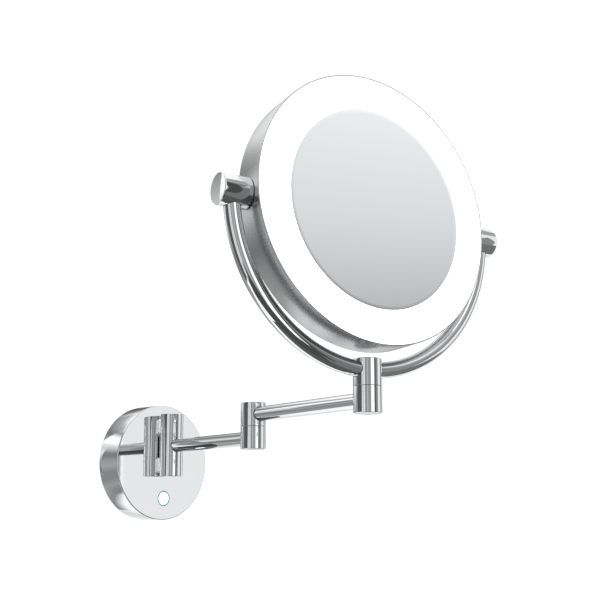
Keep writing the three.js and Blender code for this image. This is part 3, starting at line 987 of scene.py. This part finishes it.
@dataclass
class Rosette(SubAssembly):
    """The chromed rosette on the wall, its touch switch, its feet and the wall hinge.

    Attributes:
        barrel: The hinge's sizes.
        skin: The rosette's sheet thickness at its side.
        face: Its thickness at the face.
        rim_ease: The radius that breaks its front edge.
        lens: The touch lens's radius.
        ring: The touch ring's outer radius.
        ring_proud: How far the switch stands out of the face.
        grub_socket: The hex key socket's radius in the grub screw.
        foot_half: Half the width of a foot between its flats.
    """

    barrel: BarrelSizes = field(default_factory=BarrelSizes)
    skin: float = 1.2 * MM
    face: float = 1.6 * MM
    rim_ease: float = 0.9 * MM
    lens: float = 6.2 * MM
    ring: float = 7.2 * MM
    ring_proud: float = 0.2 * MM
    grub_socket: float = 1.1 * MM
    foot_half: float = 5.2 * MM

    def __post_init__(self) -> None:
        """Read the rosette's place and size from the frame."""
        low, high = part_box("rosette_shell")
        self.radius = (high.z - low.z) / 2
        self.depth = -low.y
        self.back = -high.y
        self.out = Matrix.Rotation(math.pi / 2, 4, "X")
        self.hinge = joint_point(self.frame, "wall_swing")

    def build(self) -> None:
        """Make and dress the sub-assembly."""
        self.shell()
        self.switch()
        self.grub_screw()
        for name in ("upper", "lower"):
            self.foot(name)
        self.wall_hinge()

    def switch_place(self) -> Matrix:
        """Find the touch switch's axis, in the row frame, at the wall's height."""
        low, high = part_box("touch_ring")
        centre = (low + high) / 2
        return Matrix.Translation((centre.x, 0, centre.z)) @ self.out

    def grub_place(self) -> Matrix:
        """Find the grub screw's outer end, with local +Z pointing up into the rosette."""
        low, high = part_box("grub_screw")
        centre = (low + high) / 2
        return Matrix.Translation((centre.x, centre.y, low.z))

    def shell(self) -> None:
        """Turn the rosette's cup, and cut the holes for the switch and the grub screw."""
        inner_face = self.depth - self.face
        back_ease, inner_ease = 0.3 * MM, 0.8 * MM
        corners = [
            Corner(self.radius - self.skin, self.back),
            Corner(self.radius, self.back, back_ease),
            Corner(self.radius, self.depth, self.rim_ease),
            Corner(0, self.depth),
            Corner(0, inner_face),
            Corner(self.radius - self.skin, inner_face, inner_ease),
        ]
        shell = turned("rosette_cup", corners, self.out, 288)
        through = plug(self.ring + 0.3 * MM, 0, 1.2 * self.depth)
        switch_hole = turned("switch_hole", through, self.switch_place(), 64)
        grub_radius, reach = 2.2 * MM, 5 * MM
        clear = plug(grub_radius, -reach, reach)
        grub_hole = turned("grub_hole", clear, self.grub_place(), 32)
        carve(shell, [switch_hole, grub_hole])
        self.fit(shell, Body.WALL, replaces=["rosette_shell"])

    def switch(self) -> None:
        """Turn the touch switch's ring and its lit lens."""
        place = self.switch_place()
        inner_face = self.depth - self.face
        front = self.depth + self.ring_proud
        back = inner_face - 1.9 * MM
        gap = 0.25 * MM
        flange = self.ring + 1.8 * MM
        flange_top = inner_face - 0.3 * MM
        ring = [
            Corner(self.lens + gap, back),
            Corner(flange, back),
            Corner(flange, flange_top),
            Corner(self.ring, flange_top),
            Corner(self.ring, front, 0.2 * MM),
            Corner(self.lens + gap, front, 0.15 * MM),
        ]
        lens = [
            Corner(0, back),
            Corner(self.lens, back),
            Corner(self.lens, front, 0.4 * MM),
            Corner(0, front),
        ]
        self.fit(
            turned("touch_switch_ring", ring, place, 96), Body.WALL, "teal_ring", ["touch_ring"]
        )
        self.fit(
            turned("touch_switch_lens", lens, place, 96), Body.WALL, "ice_lens", ["touch_lens"]
        )

    def grub_screw(self) -> None:
        """Turn the grub screw with its key socket."""
        low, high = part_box("grub_screw")
        radius, length = (high.x - low.x) / 2, high.z - low.z
        start, edge, point = 0.1 * MM, 0.3 * MM, 0.6 * MM
        corners = [
            Corner(0, start),
            Corner(radius, start, edge),
            Corner(radius, length, point),
            Corner(0, length),
        ]
        screw = turned("grub_screw_with_socket", corners, self.grub_place(), 48)
        hexagon = [
            (self.grub_socket * math.cos(t), self.grub_socket * math.sin(t)) for t in around(6)
        ]
        socket_depth = 2 * MM
        socket = prism("key_socket", hexagon, -1 * MM, socket_depth)
        socket.matrix_world = self.grub_place()
        carve(screw, [socket])
        self.fit(screw, Body.WALL, "zinc_steel", ["grub_screw"])

    def foot(self, name: str) -> None:
        """Mould one foot between the face and the hinge: a disc with two upright flats.

        Args:
            name: "upper" or "lower".
        """
        low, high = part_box(f"foot_{name}")
        centre = (low + high) / 2
        radius = (high.z - low.z) / 2
        place = Matrix.Translation((centre.x, 0, centre.z)) @ self.out
        into_barrel, off_face = 3 * MM, 0.05 * MM
        reach = -self.hinge.y - self.barrel.radius + into_barrel
        start = self.depth + off_face
        outline = [
            (max(-self.foot_half, min(self.foot_half, radius * math.cos(t))), radius * math.sin(t))
            for t in around(96)
        ]
        foot = prism(f"hinge_foot_{name}", outline, start, reach)
        foot.matrix_world = place
        self.fit(foot, Body.WALL, "white_polymer", [f"foot_{name}"])

    def wall_hinge(self) -> None:
        """Turn the two fixed barrels of the wall hinge and the cap below them.

        The seams to the turning knuckle are lapped so close that they hardly show, so each
        fixed barrel reaches to within a twentieth of a millimetre of it.
        """
        place = standing(self.hinge)
        lap = 0.05 * MM
        knuckle_bottom, knuckle_top = heights("arm1_knuckle")
        bottom, _ = heights("wall_barrel_lower")
        _, top = heights("wall_barrel_upper")
        close = BarrelSizes(seam_ease=0.05 * MM, washer_depth=1.65 * MM)
        roof = 4 * MM
        self.fit(
            turned("wall_hinge_top", close.upper(knuckle_top + lap, top, roof), place),
            Body.WALL,
            replaces=["wall_barrel_upper"],
        )
        self.fit(
            turned("wall_hinge_bottom", close.lower(bottom, knuckle_bottom - lap), place),
            Body.WALL,
            replaces=["wall_barrel_lower"],
        )
        low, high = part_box("wall_hinge_cap")
        cap = self.barrel.cap(bottom, high.z - low.z, (high.x - low.x) / 2)
        piece = turned("wall_hinge_end_cap", cap, place, 96)
        self.fit(piece, Body.WALL, replaces=["wall_hinge_cap"])


# ------------------------------------------------------------------------------ arms


@dataclass
class Arm(SubAssembly):
    """A tube arm between two standing hinges, with the barrels that are fixed to it.

    Attributes:
        number: 1 for the arm at the wall and 2 for the outer arm.
        body: The body that it is.
        near: The joint at its near end.
        far: The joint at its far end.
        wall: The tube's wall thickness.
        barrel: The hinges' sizes.
    """

    number: int = 1
    body: Body = Body.INNER_ARM
    near: str = "wall_swing"
    far: str = "elbow_swing"
    wall: float = 1.3 * MM
    barrel: BarrelSizes = field(default_factory=BarrelSizes)

    def __post_init__(self) -> None:
        """Read the arm's axis and height from the frame."""
        self.start = joint_point(self.frame, self.near)
        self.end = joint_point(self.frame, self.far)
        self.turn = heading(self.start, self.end)
        self.length = (self.end - self.start).to_2d().length
        low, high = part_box(f"arm{self.number}_tube")
        self.height = (low.z + high.z) / 2
        self.tube = (high.z - low.z) / 2

    def build(self) -> None:
        """Make and dress the sub-assembly."""
        self.tube_piece()
        if self.number == 1:
            self.knuckle()
            self.far_barrel("elbow")
        else:
            bottom, top = heights("elbow_upper_barrel")
            corners = self.barrel.upper(bottom, top, 4 * MM)
            self.fit(
                turned("elbow_top", corners, standing(self.start, self.turn)),
                self.body,
                replaces=["elbow_upper_barrel"],
            )
            self.far_barrel("head_joint")
        near_line = self.barrel.entry(self.tube, self.height)
        far_line = [Vector((self.length - p.x, p.y, p.z)) for p in near_line]
        for name, loop in (("near", near_line), ("far", far_line)):
            place = standing(self.start, self.turn)
            self.line(f"arm{self.number}_{name}_line", loop, place, self.body)

    def tube_piece(self) -> None:
        """Draw the arm's tube from barrel to barrel."""
        seat = 7 * MM
        outer, inner = self.tube, self.tube - self.wall
        corners = [
            Corner(inner, seat),
            Corner(outer, seat),
            Corner(outer, self.length - seat),
            Corner(inner, self.length - seat),
        ]
        level = Matrix.Translation((0, 0, self.height)) @ Matrix.Rotation(math.pi / 2, 4, "Y")
        place = standing(self.start, self.turn) @ level
        name = f"arm{self.number}_tube"
        self.fit(turned(f"{name}_drawn", corners, place, 96), self.body, replaces=[name])

    def knuckle(self) -> None:
        """Turn the knuckle that swings between the wall hinge's fixed barrels."""
        bottom, top = heights("arm1_knuckle")
        sizes = self.barrel
        ease = 0.05 * MM
        corners = [
            Corner(sizes.washer_seat, bottom),
            Corner(sizes.radius, bottom, ease),
            Corner(sizes.radius, top, ease),
            Corner(sizes.washer_seat, top),
            Corner(sizes.washer_seat, top - sizes.washer_depth),
            Corner(sizes.bore, top - sizes.washer_depth),
            Corner(sizes.bore, bottom + sizes.washer_depth),
            Corner(sizes.washer_seat, bottom + sizes.washer_depth),
        ]
        place = standing(self.start, self.turn)
        self.fit(
            turned("arm1_knuckle_turned", corners, place), self.body, replaces=["arm1_knuckle"]
        )

    def far_barrel(self, joint: str) -> None:
        """Turn the lower barrel at the arm's far end, and its cap.

        Args:
            joint: The joint's name in the solids' names.
        """
        place = standing(self.end, self.turn)
        bottom, top = heights(f"{joint}_lower_barrel")
        self.fit(
            turned(f"{joint}_bottom", self.barrel.lower(bottom, top + self.barrel.lap), place),
            self.body,
            replaces=[f"{joint}_lower_barrel"],
        )
        low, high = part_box(f"{joint}_cap")
        cap = self.barrel.cap(bottom, high.z - low.z, (high.x - low.x) / 2)
        self.fit(turned(f"{joint}_end_cap", cap, place, 96), self.body, replaces=[f"{joint}_cap"])


# ------------------------------------------------------------------------------ yoke


@dataclass
class Yoke(SubAssembly):
    """The half-round tube yoke, the barrel that carries it and the knobs at its ends.

    Attributes:
        bend: The radius of the tube's centre line about the tilt axis.
        tube: The tube's radius.
        wall: Its wall thickness.
        end_below: How far below the tilt axis its ends stop, inside the knobs.
        barrel: The head joint's sizes.
        knob_radius: The knobs' radius.
        knob_inner: The knobs' inner end from the middle.
        knob_outer: Their outer end from the middle.
        knob_ease: The radius that breaks their outer edge.
    """

    bend: float = 117.6 * MM
    tube: float = 6.25 * MM
    wall: float = 1.3 * MM
    end_below: float = 6.0 * MM
    barrel: BarrelSizes = field(default_factory=BarrelSizes)
    knob_radius: float = 11.5 * MM
    knob_inner: float = 106.3 * MM
    knob_outer: float = 128.6 * MM
    knob_ease: float = 0.8 * MM

    def __post_init__(self) -> None:
        """Read the tilt axis from the frame."""
        tilt = next(j for j in self.frame["joints"] if j["name"] == "head_tilt")
        self.pivot = Vector(tilt["pos_m"])
        self.turn = math.atan2(tilt["axis"][1], tilt["axis"][0])
        self.arc = Arc(self.bend, self.tube)
        self.place = Matrix.Translation(self.pivot) @ Matrix.Rotation(self.turn, 4, "Z")

    def build(self) -> None:
        """Make and dress the sub-assembly."""
        end = math.acos(self.end_below / self.bend)
        tube = bent_tube("yoke_tube_bent", self.arc, self.wall, end, self.place)
        self.fit(tube, Body.YOKE, replaces=["yoke_tube"])
        self.head_barrel()
        for name, side in (("left", -1), ("right", 1)):
            self.knob(name, side)

    def entry_line(
        self, name: str, side: int, radius: float, angle_of: Callable[[float], float]
    ) -> None:
        """Lay the bead of painted shade where the tube enters a barrel or a knob.

        Args:
            name: The bead's name.
            side: -1 or 1 along the tilt axis.
            radius: The radius of the barrel or knob.
            angle_of: What turns that reach, as a share of the arc's radius, into an angle on
                the arc: math.asin for an upright barrel and math.acos for a level knob.
        """
        loop = []
        for turn in around():
            reach = math.sqrt(radius**2 - (self.tube * math.sin(turn)) ** 2)
            angle = angle_of(reach / (self.bend + self.tube * math.cos(turn)))
            loop.append(self.arc.point(side * angle, turn, self.tube))
        self.line(name, loop, self.place, Body.YOKE)

    def head_barrel(self) -> None:
        """Turn the barrel that the yoke's tube runs through."""
        bottom, top = heights("head_joint_upper_barrel")
        roof = 1.2 * MM
        corners = self.barrel.upper(bottom, top, roof)
        place = standing(self.pivot, self.turn)
        self.fit(
            turned("head_joint_top", corners, place),
            Body.YOKE,
            replaces=["head_joint_upper_barrel"],
        )
        for name, side in (("left", -1), ("right", 1)):
            self.entry_line(f"yoke_{name}_line", side, self.barrel.radius, math.asin)

    def knob(self, name: str, side: int) -> None:
        """Turn one knob, hollow inside for its washer and pivot bolt.

        Args:
            name: "left" or "right".
            side: -1 or 1 along the tilt axis.
        """
        bore, seat, seat_depth = 3.3 * MM, 9.1 * MM, 1.3 * MM
        deep, inner_ease = 121.8 * MM, 0.4 * MM
        corners = [
            Corner(seat, self.knob_inner),
            Corner(self.knob_radius, self.knob_inner, inner_ease),
            Corner(self.knob_radius, self.knob_outer, self.knob_ease),
            Corner(0, self.knob_outer),
            Corner(0, deep),
            Corner(bore, deep),
            Corner(bore, self.knob_inner + seat_depth),
            Corner(seat, self.knob_inner + seat_depth),
        ]
        along = self.place @ Matrix.Rotation(side * math.pi / 2, 4, "Y")
        self.fit(
            turned(f"{name}_knob_turned", corners, along), Body.YOKE, replaces=[f"{name}_knob"]
        )
        self.entry_line(f"{name}_knob_line", side, self.knob_radius, math.acos)


# ------------------------------------------------------------------------------ lit head


@dataclass
class LitHead(SubAssembly):
    """The tilting head: a spun drum, the lit ring and the hollow mirror glass.

    Attributes:
        tilt: How far the mirror leans back at rest, in degrees.
        rise: How far the drum's centre stands above the tilt axis.
        radius: The drum's outer radius.
        skin: Its sheet thickness.
        front: Its front edge from the tilt axis.
        back: Its back edge from the tilt axis.
        dome: How much the back swells past that edge.
        back_ease: The radius of the edge between side and back.
        ring_outer: The lit ring's outer radius.
        ring_inner: Its inner radius.
        ring_thick: Its thickness.
        glass: The mirror glass's radius.
        glass_thick: Its thickness.
        hollow: How deep its middle lies below its edge.
        screw_orbit: The distance of the back screws from the centre.
        screw_head: Their heads' radius.
    """

    tilt: float = 3.4
    rise: float = 2.8 * MM
    radius: float = 105.9 * MM
    skin: float = 1.0 * MM
    front: float = 16.7 * MM
    back: float = -13.5 * MM
    dome: float = 3.0 * MM
    back_ease: float = 3.5 * MM
    ring_outer: float = 104.75 * MM
    ring_inner: float = 78.85 * MM
    ring_thick: float = 2.8 * MM
    glass: float = 78.7 * MM
    glass_thick: float = 3.2 * MM
    hollow: float = 3.0 * MM
    screw_orbit: float = 52.0 * MM
    screw_head: float = 3.2 * MM

    def __post_init__(self) -> None:
        """Read the tilt axis from the frame, and place the drum on it."""
        tilt = next(j for j in self.frame["joints"] if j["name"] == "head_tilt")
        axis_turn = math.atan2(tilt["axis"][1], tilt["axis"][0])
        self.place = (
            Matrix.Translation(Vector(tilt["pos_m"]))
            @ Matrix.Rotation(axis_turn, 4, "Z")
            @ Matrix.Rotation(math.radians(90 - self.tilt), 4, "X")
            @ Matrix.Translation((0, self.rise, 0))
        )

    def build(self) -> None:
        """Make and dress the sub-assembly."""
        self.drum()
        self.lit_ring()
        self.mirror()
        for index in range(3):
            self.back_screw(index)

    def swell(self, radius: float) -> float:
        """Give the height of the drum's outer back at a distance from its centre."""
        spread = self.radius - self.back_ease
        return self.back - self.dome * max(0.0, 1 - (radius / spread) ** 2)

    def drum(self) -> None:
        """Spin the drum: a domed back, an eased edge and a straight side with a rolled lip."""
        spread = self.radius - self.back_ease
        steps = 12
        parts = [k / steps for k in range(steps)]
        outside = [Corner(spread * p, self.swell(spread * p)) for p in parts]
        edge = [Corner(self.radius, self.back, self.back_ease)]
        lip = [
            Corner(self.radius, self.front, 0.35 * MM),
            Corner(self.radius - self.skin, self.front, 0.3 * MM),
        ]
        inner_edge = self.radius - self.skin
        inner_back = self.back + self.skin
        inside = [Corner(inner_edge, inner_back, self.back_ease - self.skin)]
        inside += [Corner(spread * p, self.swell(spread * p) + self.skin) for p in reversed(parts)]
        drum = turned("spun_drum", outside + edge + lip + inside, self.place, 320)
        self.fit(drum, Body.HEAD, "satin_aluminium", ["drum_shell"])

    def lit_ring(self) -> None:
        """Turn the opal ring in front of the lights."""
        setback, ease = 0.1 * MM, 0.25 * MM
        front = self.front - setback
        corners = [
            Corner(self.ring_inner, front - self.ring_thick),
            Corner(self.ring_outer, front - self.ring_thick),
            Corner(self.ring_outer, front, ease),
            Corner(self.ring_inner, front, ease),
        ]
        ring = turned("lit_opal_ring", corners, self.place, 288)
        self.fit(ring, Body.HEAD, "opal_acrylic", ["diffuser_ring"])

    def mirror(self) -> None:
        """Turn the mirror glass with its hollow front and ground edge."""
        setback, steps = 0.2 * MM, 24
        rim = self.front - setback
        parts = [k / steps for k in range(steps + 1)]
        front = [
            Corner(self.glass * p, rim - self.hollow * (1 - p * p), 0.2 * MM if p == 1 else 0)
            for p in reversed(parts)
        ]
        back = [Corner(c.radius, c.height - self.glass_thick) for c in reversed(front)]
        glass = turned("hollow_mirror_glass", back + front, self.place, 256)
        self.fit(glass, Body.HEAD, "silvered_glass", ["mirror_glass"])

    def back_screw(self, index: int) -> None:
        """Turn one back screw and cut the cross recess into its head.

        Args:
            index: Which of the screws this is, from 0.
        """
        angle = math.pi / 2 + 2 * math.pi * index / 3
        seat = self.swell(self.screw_orbit)
        low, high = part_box(f"back_screw_{index + 1}")
        start, side, ease, crown = 0.1 * MM, 1.3 * MM, 0.7 * MM, 1.7 * MM
        corners = [
            Corner(0, start),
            Corner(self.screw_head, start),
            Corner(self.screw_head, side, ease),
            Corner(0, crown),
        ]
        out = (
            self.place
            @ Matrix.Rotation(angle, 4, "Z")
            @ Matrix.Translation((self.screw_orbit, 0, seat))
            @ Matrix.Rotation(math.pi, 4, "X")
        )
        screw = turned(f"back_screw_head_{index + 1}", corners, out, 48)
        arm, half = 1.7 * MM, 0.35 * MM
        corner = ((arm, half), (half, half), (half, arm))
        quarters = ((1, 0), (0, 1), (-1, 0), (0, -1))
        cross = [(x * c - y * t, x * t + y * c) for c, t in quarters for x, y in corner]
        floor, clear = 0.7 * MM, 3 * MM
        recess = prism("cross_recess", cross, floor, clear)
        recess.matrix_world = out
        carve(screw, [recess])
        self.fit(screw, Body.HEAD, "zinc_steel")
        LOG.info("screw %d spans %.1f mm", index + 1, (high - low).length / MM)


# ------------------------------------------------------------------------------ studio


@dataclass(frozen=True)
class Card:
    """A flat card that stands round the object for its chrome to reflect.

    Attributes:
        name: What the card is called.
        bearing: Its compass angle from the way back to the camera, in degrees towards the
            camera's right.
        lift: Its middle's height angle above the object, in degrees.
        wide: The angle that it covers from side to side, in degrees.
        tall: The angle that it covers from top to bottom, in degrees.
        light: Its brightness, where 1 is full white. On a graded card it scales the fade.
        away: Its distance, in metres.
        fade: Its brightness at each of a few height angles, in degrees, where it is uneven.
        lean: How far it is turned about the line to the object, in degrees.
    """

    name: str
    bearing: float
    lift: float
    wide: float
    tall: float
    light: float = 1.0
    away: float = 2.5
    fade: tuple[tuple[float, float], ...] = ()
    lean: float = 0.0


@dataclass
class Studio:
    """A white studio with a pale floor, soft light and cards, and the camera.

    Attributes:
        camera_at: The camera's place, in metres.
        camera_turn: How far it is turned about +Z, from +Y towards +X, in degrees.
        camera_pitch: How far it looks up, in degrees.
        lens: Its focal length on a 36 mm sensor, in millimetres.
        shift: The rise of its view, as a share of the picture's width.
        floor_height: The floor's height, in metres.
        floor_glow: How strongly the floor glows by itself.
        surround_light: The brightness of the white all round.
        middle: The point that the soft lights face, in metres.
        cards: The cards round the object.
    """

    camera_at: tuple[float, float, float] = (-0.59706, -0.74151, -0.04095)
    camera_turn: float = 48.33
    camera_pitch: float = 7.96
    lens: float = 55.4
    shift: float = 0.125
    floor_height: float = -0.6
    floor_glow: float = 0.25
    surround_light: float = 1.1
    middle: tuple[float, float, float] = (0.0, -0.3, 0.1)
    cards: tuple[Card, ...] = (
        Card("camera_side_grey", -3, 8, 46, 66, 0.33),
        Card("camera_side_pale", -5, 8, 10, 66, 0.50, 2.4),
        Card("left_window", -39, 8, 19, 80, 0.70),
        Card("left_flag", -71.5, 8, 41, 80, 0.10),
        Card("key_strip", 33, 8, 14, 90, 1.3),
        Card("narrow_flag", 51, 4, 8, 60, 0.07),
        Card("soft_flag", 59.25, 4, 8.5, 60, 0.19),
        Card("grey_edge", 70.5, 4, 14, 60, 0.28),
        Card("right_fill", 92, 8, 28, 90, 0.92),
        Card("right_back_grey", 118, 8, 24, 80, 0.32),
        Card("upper_right_grey", 85, 46, 60, 20, 0.40),
        Card(
            "left_steps_middle", -99, 0, 16, 42, away=2.3,
            fade=(
                (-20, 0.27), (-13, 0.27), (-6, 0.41), (0, 0.36), (6, 0.22),
                (9, 0.26), (13, 0.55), (17, 0.80), (20, 1.10),
            ),
        ),
        Card(
            "left_steps_high", -103.5, 30, 25, 30, away=2.4,
            fade=((17, 0.80), (21, 1.25), (26, 1.2), (31, 0.36), (35, 0.6), (39, 1.2)),
        ),
        Card(
            "left_steps_low", -103.5, -30, 25, 30, away=2.4,
            fade=((-40, 1.1), (-36, 0.26), (-32, 0.28), (-27, 0.37), (-21, 0.27), (-17, 0.27)),
        ),
        Card(
            "rail_steps", -128, 0, 48, 84,
            fade=(
                (-40, 1.1), (-35, 0.28), (-27, 0.42), (-18, 0.45), (-10, 0.17), (-1, 0.32),
                (10, 0.92), (19, 0.52), (28, 0.20), (36, 0.50), (40, 1.1),
            ),
        ),
        Card(
            "back_steps", 178, 0, 64, 84,
            fade=(
                (-40, 1.0), (-33, 0.75), (-12, 0.95), (-4, 0.6),
                (1, 0.15), (25, 0.15), (38, 0.9),
            ),
        ),
        Card("front_ground_dark", 6, -45, 92, 46, 0.07),
        Card("right_ground_dark", 88, -32, 72, 42, 0.18),
        Card("under_grey", 40, -80, 60, 60, 0.10, 2.6),
        Card(
            "mirror_fade", 62, 24, 24, 22, away=0.65, lean=34.0,
            fade=((17, 0.37), (23.5, 0.78), (29.5, 1.02)),
        ),
    )

    def build(self) -> None:
        """Set up the camera, the white surround, the floor, the lights and the cards."""
        self.camera()
        self.surround()
        self.floor()
        self.softbox("top_light", (0.1, -0.5, 1.6), size=1.4, power=9.0)
        self.softbox("side_light", (-1.3, 0.1, 0.9), size=0.8, power=4.0)
        for card in self.cards:
            self.stand(card)

    def camera(self) -> None:
        """Place the camera at the portrait's viewing angle."""
        data = bpy.data.cameras.new("portrait_camera")
        data.sensor_width = 36.0
        data.lens = self.lens
        data.shift_y = self.shift
        data.clip_start = 0.01
        camera = bpy.data.objects.new("portrait_camera", data)
        camera.location = self.camera_at
        camera.rotation_euler = (
            math.radians(90 + self.camera_pitch),
            0.0,
            math.radians(-self.camera_turn),
        )
        bpy.context.scene.collection.objects.link(camera)
        bpy.context.scene.camera = camera

    def surround(self) -> None:
        """Make the studio white all round."""
        scene = bpy.context.scene
        scene.view_settings.view_transform = "Standard"
        world = bpy.data.worlds.new("white_studio")
        world.use_nodes = True
        world.node_tree.nodes.clear()
        white = {"Color": linear("#ffffff"), "Strength": self.surround_light}
        light = add_node(world.node_tree, "ShaderNodeBackground", white)
        add_node(
            world.node_tree, "ShaderNodeOutputWorld", {}, {"Surface": light.outputs["Background"]}
        )
        scene.world = world

    def panel(self, name: str, place: Matrix, wide: float, tall: float) -> bpy.types.Object:
        """Make a flat rectangle that faces along its local +Z.

        Args:
            name: The panel's name.
            place: Where it goes.
            wide: Its width, in metres.
            tall: Its height, in metres.

        Returns:
            The panel, marked as not part of the object.
        """
        form = bmesh.new()
        x, y = wide / 2, tall / 2
        corners = ((-x, -y, 0), (x, -y, 0), (x, y, 0), (-x, y, 0))
        form.faces.new([form.verts.new(corner) for corner in corners])
        panel = new_piece(name, finish_mesh(name, form), place)
        panel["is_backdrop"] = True
        return panel

    def floor(self) -> None:
        """Lay the pale floor, which the chrome doesn't see."""
        floor = self.panel("pale_floor", Matrix.Translation((0, 0, self.floor_height)), 30, 30)
        paint = Finish("pale_floor_paint", "floor", "#ffffff", 0.0, 0.9, shade=0.0).build()
        shader = next(n for n in paint.node_tree.nodes if n.type == "BSDF_PRINCIPLED")
        shader.inputs["Emission Color"].default_value = linear("#ffffff")
        shader.inputs["Emission Strength"].default_value = self.floor_glow
        floor.data.materials.append(paint)
        floor.visible_glossy = False

    def softbox(
        self, name: str, at: tuple[float, float, float], size: float, power: float
    ) -> None:
        """Hang a square soft light that faces the middle of the object.

        Args:
            name: The light's name.
            at: Its place, in metres.
            size: Its side, in metres.
            power: Its power, in watts.
        """
        data = bpy.data.lights.new(name, "AREA")
        data.shape = "SQUARE"
        data.size = size
        data.energy = power
        light = bpy.data.objects.new(name, data)
        light.location = at
        towards = Vector(self.middle) - Vector(at)
        light.rotation_euler = towards.to_track_quat("-Z", "Y").to_euler()
        light.visible_glossy = False
        bpy.context.scene.collection.objects.link(light)

    def shade(
        self, tree: bpy.types.NodeTree, glow: bpy.types.Node, card: Card, tall: float
    ) -> None:
        """Grade a card's light from bottom to top.

        Args:
            tree: The card's node tree.
            glow: Its emission node.
            card: The card's plan.
            tall: The card's height, in metres.
        """
        where = add_node(tree, "ShaderNodeTexCoord").outputs["Object"]
        axes = add_node(tree, "ShaderNodeSeparateXYZ", {}, {"Vector": where}).outputs
        ends = {"From Min": -tall / 2, "From Max": tall / 2}
        span = add_node(tree, "ShaderNodeMapRange", ends, {"Value": axes["Y"]})
        ramp = add_node(tree, "ShaderNodeValToRGB", {}, {"Fac": span.outputs["Result"]})
        stops = ramp.color_ramp.elements
        stops.remove(stops[1])
        for index, (angle, light) in enumerate(card.fade):
            rise = card.away * math.tan(math.radians(angle - card.lift))
            share = min(1.0, max(0.0, 0.5 + rise / tall))
            stop = stops[0] if index == 0 else stops.new(share)
            stop.position = share
            stop.color = (light, light, light, 1.0)
        tree.links.new(ramp.outputs["Color"], glow.inputs["Color"])

    def stand(self, card: Card) -> None:
        """Stand one card round the object, seen only in its reflections.

        Args:
            card: The card's plan.
        """
        low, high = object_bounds()
        centre = (low + high) / 2
        to_camera = Vector(self.camera_at) - centre
        bearing = math.atan2(to_camera.y, to_camera.x) + math.radians(card.bearing)
        lift = math.radians(card.lift)
        out = Vector(
            (math.cos(bearing) * math.cos(lift), math.sin(bearing) * math.cos(lift), math.sin(lift))
        )
        turn = (-out).to_track_quat("Z", "Y").to_matrix().to_4x4()
        lean = Matrix.Rotation(math.radians(card.lean), 4, "Z")
        place = Matrix.Translation(centre + out * card.away) @ turn @ lean
        wide = 2 * card.away * math.tan(math.radians(card.wide / 2))
        tall = 2 * card.away * math.tan(math.radians(card.tall / 2))
        panel = self.panel(card.name, place, wide, tall)
        material = bpy.data.materials.new(card.name)
        material.use_nodes = True
        tree = material.node_tree
        tree.nodes.clear()
        glow = add_node(tree, "ShaderNodeEmission", {"Strength": card.light})
        if card.fade:
            self.shade(tree, glow, card, tall)
        add_node(tree, "ShaderNodeOutputMaterial", {}, {"Surface": glow.outputs["Emission"]})
        panel.data.materials.append(material)
        panel.visible_camera = False
        panel.visible_diffuse = False
        panel.visible_shadow = False
        panel.visible_transmission = False


# ------------------------------------------------------------------------------ main


def main() -> None:
    """Load the frame, build every sub-assembly on it and light the studio."""
    logging.basicConfig(level=logging.INFO, format="%(message)s")
    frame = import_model()
    Studio().build()
    finishes = Finishes()
    LOG.info("%d solids dressed", finishes.dress_nodes(frame))
    assemblies: list[SubAssembly] = [
        Rosette(frame, finishes),
        Arm(frame, finishes),
        Arm(frame, finishes, 2, Body.OUTER_ARM, "elbow_swing", "head_swivel"),
        Yoke(frame, finishes),
        LitHead(frame, finishes),
    ]
    for assembly in assemblies:
        LOG.info("building the %s", type(assembly).__name__)
        assembly.build()


if __name__ == "__main__":
    main()
